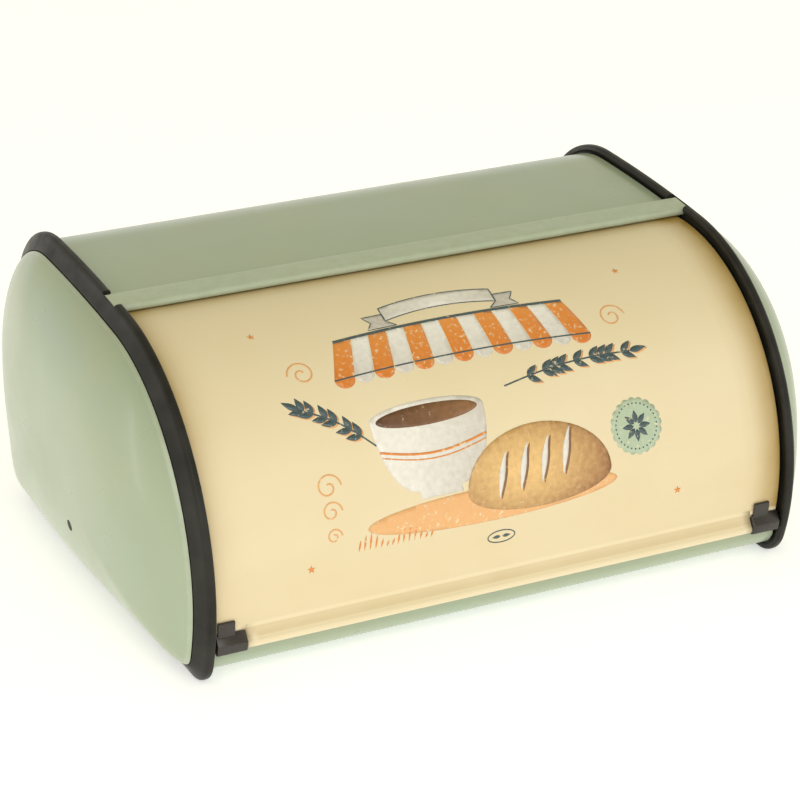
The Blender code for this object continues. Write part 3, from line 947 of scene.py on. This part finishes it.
orange_ink = make_ink("orange_ink", (0.66, 0.185, 0.018), (0.82, 0.310, 0.055), 0.08)
pale_orange_ink = make_ink("pale_orange_ink", (0.74, 0.330, 0.090), (0.80, 0.440, 0.180), 0.06)
teal_ink = make_ink("teal_ink", (0.024, 0.052, 0.060), (0.070, 0.115, 0.125), 0.05)
chalk_ink = make_ink("chalk_ink", (0.420, 0.370, 0.300), (0.860, 0.830, 0.770))
brown_ink = make_ink("brown_ink", (0.075, 0.026, 0.009), (0.300, 0.135, 0.045))
crust_ink = make_ink("crust_ink", (0.270, 0.100, 0.018), (0.860, 0.560, 0.220))
mint_ink = make_ink("mint_ink", (0.300, 0.400, 0.270), (0.500, 0.590, 0.430), 0.04)
print("inks ready")

# %% [markdown]
# ## Stars, awning and ribbon
# Four small stars mark the corners. A shop awning of worn orange stripes spans the middle, with
# a scalloped edge, and a blank ribbon with folded tails hangs above it.

# %% Stars, awning and ribbon
PRINT_MIDDLE = -6.0
AWNING_STRIPES = 13
AWNING_HEM = 100.0
RIBBON_MIDDLE = -7.0


def ring_of(centre, across, up, start=0, end=360, steps=40):
    """Points round an ellipse."""
    turns = [math.radians(start + (end - start) * i / steps) for i in range(steps + 1)]
    return [(centre[0] + across * math.cos(t), centre[1] + up * math.sin(t)) for t in turns]


def star(centre, radius, points=5):
    """A star with its first point up."""
    ends = []
    for i in range(2 * points):
        turn = math.pi / 2 + math.pi * i / points
        reach = radius if i % 2 == 0 else radius * 0.42
        ends.append((centre[0] + reach * math.cos(turn), centre[1] + reach * math.sin(turn)))
    return ends


def awning_edge(share, height):
    """A place on the awning: across from -1 to 1, and up from its hem (0) to its top (1)."""
    half_width = 76.0 - 8.0 * height
    return PRINT_MIDDLE + share * half_width, AWNING_HEM + 24.0 * height + 3.0 * (1 - share * share)


def stripe(index, count, inset=0.0):
    """One awning stripe with a round lower end."""
    low = -1 + 2 * index / count + inset
    high = -1 + 2 * (index + 1) / count - inset
    left = awning_edge(low, 0)
    right = awning_edge(high, 0)
    middle = ((left[0] + right[0]) / 2, (left[1] + right[1]) / 2)
    half = (right[0] - left[0]) / 2
    return ring_of(middle, half, half * 0.9, 180, 360, 10) + [awning_edge(high, 1), awning_edge(low, 1)]


stars = [filled(star((PRINT_MIDDLE + side * 109.0, v), 2.4)) for side in (-1, 1) for v in (5.0, 138.0)]
print_film("corner_stars", stars, orange_ink, 0)
pale = [filled(stripe(i, AWNING_STRIPES, 0.006)) for i in range(1, AWNING_STRIPES, 2)]
print_film("awning_pale_stripes", pale, chalk_ink, 0, lambda u, v: 0.55 + 0.02 * (v - AWNING_HEM))
bright = [filled(stripe(i, AWNING_STRIPES)) for i in range(0, AWNING_STRIPES, 2)]
print_film("awning_orange_stripes", bright, orange_ink, 0, lambda u, v: 0.2 + 0.025 * (v - AWNING_HEM))
rails = [[awning_edge(i / 20, height) for i in range(-20, 21)] for height in (0.02, 1.0)]
print_film("awning_rails", [stroke(rails[0], 0.9), stroke(rails[1], 1.8)], teal_ink, 1)


def ribbon_line(share, height):
    """A place on the ribbon: across from -1 to 1, and up from its lower edge (0) to its upper."""
    return RIBBON_MIDDLE + 33.0 * share, 132.0 + 10.0 * height + 4.0 * (1 - share * share)


face = [ribbon_line(i / 10, 0) for i in range(-10, 11)] + [ribbon_line(i / 10, 1) for i in range(10, -11, -1)]
tails = []
for side in (-1, 1):
    fold = ribbon_line(side, 0)
    tails.append([(fold[0] - side * 5.0, fold[1] - 4.0), (fold[0] + side * 12.0, fold[1] - 4.5),
                  (fold[0] + side * 8.5, fold[1]), (fold[0] + side * 12.0, fold[1] + 5.0),
                  (fold[0] - side * 0.2, fold[1] + 5.4), (fold[0] - side * 0.2, fold[1])])
print_film("ribbon_tails", [filled(tail) for tail in tails], chalk_ink, 0, lambda u, v: 0.35)
print_film("ribbon_face", [filled(face)], chalk_ink, 1, lambda u, v: 0.95 - 0.012 * abs(u - RIBBON_MIDDLE))
edges = [stroke(face + face[:1], 0.7)] + [stroke(tail + tail[:1], 0.6) for tail in tails]
print_film("ribbon_outline", edges, teal_ink, 2)

# %% [markdown]
# ## Wheat and curls
# A sprig of wheat is a stem with pairs of grains, each grain a small leaf turned a little away
# from the stem. A pale orange curl ends each side of the picture.

# %% Wheat and curls
def leaf(start, angle, length, width):
    """A pointed leaf from its root."""
    turn = math.radians(angle)
    along_u, along_v = math.cos(turn), math.sin(turn)
    edge = []
    for i in range(13):
        t = i / 6 if i <= 6 else (12 - i) / 6
        side = (width / 2 if i <= 6 else -width / 2) * math.sin(math.pi * t ** 0.8)
        edge.append((start[0] + along_u * length * t - along_v * side,
                     start[1] + along_v * length * t + along_u * side))
    return edge[:-1]


def sprig(start, end, sag, pairs, grain):
    """A bent stem and its grains, as (stem, grains)."""
    stem = [(start[0] + (end[0] - start[0]) * i / 16,
             start[1] + (end[1] - start[1]) * i / 16 + sag * math.sin(math.pi * i / 16)) for i in range(17)]
    lean = math.degrees(math.atan2(end[1] - start[1], end[0] - start[0]))
    grains = [leaf(stem[-1], lean, grain * 1.2, grain * 0.42)]
    for i in range(pairs):
        root = stem[3 + round(12 * i / (pairs - 1))]
        grains += [leaf(root, lean + side * 34, grain, grain * 0.42) for side in (-1, 1)]
    return stem, grains


SPRIGS = (
    # name, root, tip, pairs of grains
    ("left", (-70.0, 62.0), (-106.0, 88.0), 6),
    ("right", (10.0, 80.0), (88.0, 86.0), 9),
)
for name, start, end, pairs in SPRIGS:
    stem, grains = sprig(start, end, 3.0, pairs, 9.0)
    print_film(f"{name}_wheat_glow", [filled([(u + 0.8, v - 0.8) for u, v in grain]) for grain in grains],
               pale_orange_ink, 0)
    print_film(f"{name}_wheat_grains", [filled(grain) for grain in grains], teal_ink, 1)
    print_film(f"{name}_wheat_stem", [stroke(stem, 0.9)], teal_ink, 2)


def curl(centre, radius, turns, side):
    """A spiral that winds in towards its centre."""
    steps = int(40 * turns)
    points = []
    for i in range(steps + 1):
        t = i / steps
        turn = 2 * math.pi * turns * t
        reach = radius * (1 - 0.82 * t)
        points.append((centre[0] + side * reach * math.cos(turn), centre[1] + reach * math.sin(turn)))
    return points


curls = [stroke(curl((PRINT_MIDDLE + side * 92.0, 108.0), 8.0, 1.4, side), 1.0) for side in (-1, 1)]
curls += [stroke(curl((-101.0, 46.0 - 13.0 * i), 7.5 - 1.5 * i, 1.3, 1), 0.9) for i in range(3)]
hatch = [stroke([(-88.0 + 3.2 * i, 9.0), (-86.5 + 3.2 * i, 15.0 + 3.0 * math.sin(0.9 * i))], 1.2, taper=True)
         for i in range(14)]
print_film("orange_curls", curls, pale_orange_ink, 0)
print_film("orange_hatch", hatch, orange_ink, 0)

# %% [markdown]
# ## Bowl, loaf and rosette
# A bowl and a round loaf stand on a board. Only their tone makes them look round: the loaf is
# pale on top and browner towards its edge, and each cut in its crust is a pale, pointed stroke
# over a dark one. The rosette repeats the box's own green.

# %% Bowl, loaf and rosette
BOWL = (-38.0, 34.0)
BOWL_RIM = 40.0
LOAF = (20.0, 27.0)
ROSETTE = (81.0, 45.0)


def bowl_outline():
    """The bowl from its left rim round its foot to its right rim, closed over the back of the rim."""
    left = []
    for i in range(11):
        turn = math.pi / 2 * (1 - i / 10)
        left.append((BOWL[0] - 12.0 - 21.0 * math.sin(turn), BOWL[1] + BOWL_RIM * (1 - math.cos(turn))))
    foot = [(BOWL[0] - 12.5, BOWL[1] - 4.0), (BOWL[0] + 12.5, BOWL[1] - 4.0)]
    right = [(2 * BOWL[0] - u, v) for u, v in reversed(left)]
    return left + foot + right + ring_of((BOWL[0], BOWL[1] + BOWL_RIM), 33.0, 7.5, 6, 174, 16)


def loaf_outline():
    """A round loaf with a flatter underside."""
    return [(LOAF[0] + 43.0 * math.cos(t), LOAF[1] + (31.0 if t < math.pi else 14.0) * math.sin(t))
            for t in (2 * math.pi * i / 48 for i in range(48))]


def loaf_tone(u, v):
    """Pale towards the top left, and brown towards the edge."""
    reach = math.hypot((u - LOAF[0] + 9.0) / 50.0, (v - LOAF[1] - 9.0) / 29.0)
    return max(0.0, 0.92 - 0.75 * reach ** 1.6)


def scalloped(centre, radius, depth, steps=120):
    """A round badge with small scallops along its edge."""
    edge = []
    for i in range(steps):
        t = 2 * math.pi * i / steps
        reach = radius + depth * abs(math.cos(10 * t))
        edge.append((centre[0] + reach * math.cos(t), centre[1] + reach * math.sin(t)))
    return edge


board = ring_of((-8.0, 20.0), 74.0, 9.5)[:-1]
print_film("board", [filled(board)], pale_orange_ink, 0, lambda u, v: 0.9)
print_film("bowl", [filled(bowl_outline())], chalk_ink, 1,
           lambda u, v: 0.95 - 0.010 * max(0.0, u - BOWL[0] + 14.0) - 0.006 * max(0.0, 60.0 - v))
soup = ring_of((BOWL[0], BOWL[1] + BOWL_RIM - 0.6), 29.5, 5.6)[:-1]
print_film("bowl_inside", [filled(soup)], brown_ink, 2, lambda u, v: 0.5 + 0.012 * (u - BOWL[0]))
bands = [[(BOWL[0] - 31.0 + 62.0 * i / 20, 58.0 - 5.0 * math.sin(math.pi * i / 20) - drop) for i in range(21)]
         for drop in (0.0, 3.0)]
narrow_band = [(u * 0.97 + BOWL[0] * 0.03, v) for u, v in bands[1]]
print_film("bowl_bands", [stroke(bands[0], 1.3), stroke(narrow_band, 0.7)], orange_ink, 2)
print_film("loaf", [filled(loaf_outline())], crust_ink, 3, loaf_tone)
slashes = [[(LOAF[0] - 25.0 + 13.0 * k + 7.0 * t, LOAF[1] - 5.0 + 2.0 * k + 24.0 * t + 3.0 * math.sin(3 * t))
            for t in (i / 8 for i in range(9))] for k in range(4)]
print_film("loaf_cut_shadows", [stroke([(u + 1.3, v - 0.8) for u, v in cut_line], 3.4, taper=True)
                                for cut_line in slashes], brown_ink, 4, lambda u, v: 0.75)
print_film("loaf_cuts", [stroke(cut_line, 3.4, taper=True) for cut_line in slashes], chalk_ink, 5,
           lambda u, v: 0.8)
hub = ring_of(ROSETTE, 1.6, 1.6, steps=8)[:-1]
petals = [leaf(root, 45 * k, 7.0, 3.2) for k, root in enumerate(hub)]
dots = [ring_of(centre, 0.5, 0.5, steps=8)[:-1] for centre in ring_of(ROSETTE, 12.4, 12.4, steps=32)[:-1]]
print_film("rosette", [filled(scalloped(ROSETTE, 14.6, 1.1))], mint_ink, 0, lambda u, v: 0.7)
print_film("rosette_marks", [filled(shape) for shape in petals + dots], teal_ink, 1)
ornament = ring_of((-5.0, 0.5), 8.0, 3.4)
print_film("small_ornament", [stroke(ornament, 0.7), filled(leaf((-5.5, 0.5), 180, 5.0, 2.0)),
                              filled(leaf((-4.5, 0.5), 0, 5.0, 2.0))], teal_ink, 0)

# %% [markdown]
# ## The caps of the lip
# A moulded cap slides on each end of the lip, with a small tab that lies on the lid. It is
# drawn as two side profiles with different widths. Both are bevelled before they are joined,
# because a moulding has no sharp edge, and the soft edge is what catches the light. One mould
# makes both caps, so the tab is near the left end of each.

# %% Lip caps
CAP_BODY_X = (0.152, 0.1690)
CAP_TAB_OFFSET = 0.0012
CAP_TAB_WIDTH = 0.0096
CAP_BODY = (
    (0.0004, 3.9), (0.0032, 2.7), (0.0058, 1.6), (0.0060, -0.9),
    (0.0047, -1.6), (0.0010, -1.4), (-0.0006, 0.2), (0.0004, 1.4),
)
CAP_TAB = ((0.0004, 7.4), (0.0017, 7.2), (0.0021, 3.0), (0.0006, 2.4))


def bevelled_prism(profile, x_low, x_high, bevel, name, finish):
    """A side profile given a width, with every edge softened."""
    bm = bmesh.new()
    rows = [[bm.verts.new((x, y, z)) for y, z in profile] for x in (x_low, x_high)]
    join_grid(bm, rows, round_columns=True)
    bm.faces.new(rows[0])
    bm.faces.new(rows[1])
    bmesh.ops.recalc_face_normals(bm, faces=bm.faces)
    bmesh.ops.bevel(bm, geom=bm.edges, offset=bevel, segments=3, profile=0.5, affect="EDGES")
    mesh = bpy.data.meshes.new(name)
    bm.to_mesh(mesh)
    bm.free()
    mesh.materials.append(finish)
    made = bpy.data.objects.new(name, mesh)
    scene.collection.objects.link(made)
    return made


def make_cap(name, side):
    """One lip cap with its tab."""
    body, tab = ([lid_point(LID_RADIUS + above, LIP_ANGLE + angle) for above, angle in profile]
                 for profile in (CAP_BODY, CAP_TAB))
    low, high = sorted(side * x for x in CAP_BODY_X)
    tab_low = low + CAP_TAB_OFFSET
    cap = bevelled_prism(body, low, high, 0.0007, f"{name}_lip_cap", cap_plastic)
    extra = bevelled_prism(tab, tab_low, tab_low + CAP_TAB_WIDTH, 0.0004, "tab", cap_plastic)
    cut(cap, extra, "UNION")
    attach(cap, "lid")
    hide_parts(f"{name}_lid_cap")
    print(cap.name, "has", len(cap.data.polygons), "faces")


for name, side in SIDES.items():
    make_cap(name, side)

# %% [markdown]
# ## The pivots and the arms
# The lid hangs on a flat steel arm at each end. A pin passes through the dome, a nylon bush,
# the arm and a washer, and a push-on retainer holds it. These working pieces already have the
# right shape, so they keep it and only get a real finish: zinc with a brushed grain,
# blackened steel for the pin whose head shows outside, and plain nylon.

# %% Metal and nylon
def make_zinc(name, colour, roughness):
    """Plated steel with a brushed grain and small dull spots."""
    material, tree, shader = new_finish(name, metallic=1.0)
    where = places(tree)
    spots = spread(tree, mottle(tree, where, 0.004, 5.0), 0.45, 0.75, 0.0, 0.6)
    dull = tuple(channel * 0.72 for channel in colour)
    wire(tree, shader.inputs["Base Color"], blended(tree, spots, opaque(colour), opaque(dull)))
    brushed = mottle(tree, where, 0.002, 4.0, stretch=(1.0, 14.0, 1.0))
    wire(tree, shader.inputs["Roughness"], spread(tree, brushed, 0.3, 0.7, roughness, roughness + 0.2))
    emboss(tree, shader, brushed, 0.000015)
    return material


def make_nylon():
    """Off-white moulded nylon, faintly cloudy."""
    material, tree, shader = new_finish("natural_nylon")
    where = places(tree)
    cloudy = mottle(tree, where, 0.004, 3.0)
    colour = blended(tree, cloudy, opaque((0.74, 0.73, 0.67)), opaque((0.81, 0.80, 0.76)))
    wire(tree, shader.inputs["Base Color"], colour)
    wire(tree, shader.inputs["Roughness"], spread(tree, cloudy, 0.3, 0.7, 0.42, 0.56))
    emboss(tree, shader, mottle(tree, where, 0.0007, 2.0), 0.00001)
    return material


zinc = make_zinc("zinc_plate", (0.58, 0.58, 0.56), 0.30)
blackened = make_zinc("blackened_steel", (0.045, 0.045, 0.042), 0.42)
nylon = make_nylon()
WORKING_FINISHES = {
    "pivot_pin": blackened, "pivot_bush": nylon, "pivot_washer": nylon, "pivot_retainer": zinc,
    "lid_arm": zinc, "arm_rivet_upper": zinc, "arm_rivet_lower": zinc,
}
finished = 0
for side in SIDES:
    for kind, finish in WORKING_FINISHES.items():
        node = frame["nodes"][f"{side}_{kind}"]
        for slot in node.material_slots:
            slot.material = finish
            finished += 1
print("working pieces finished:", finished)
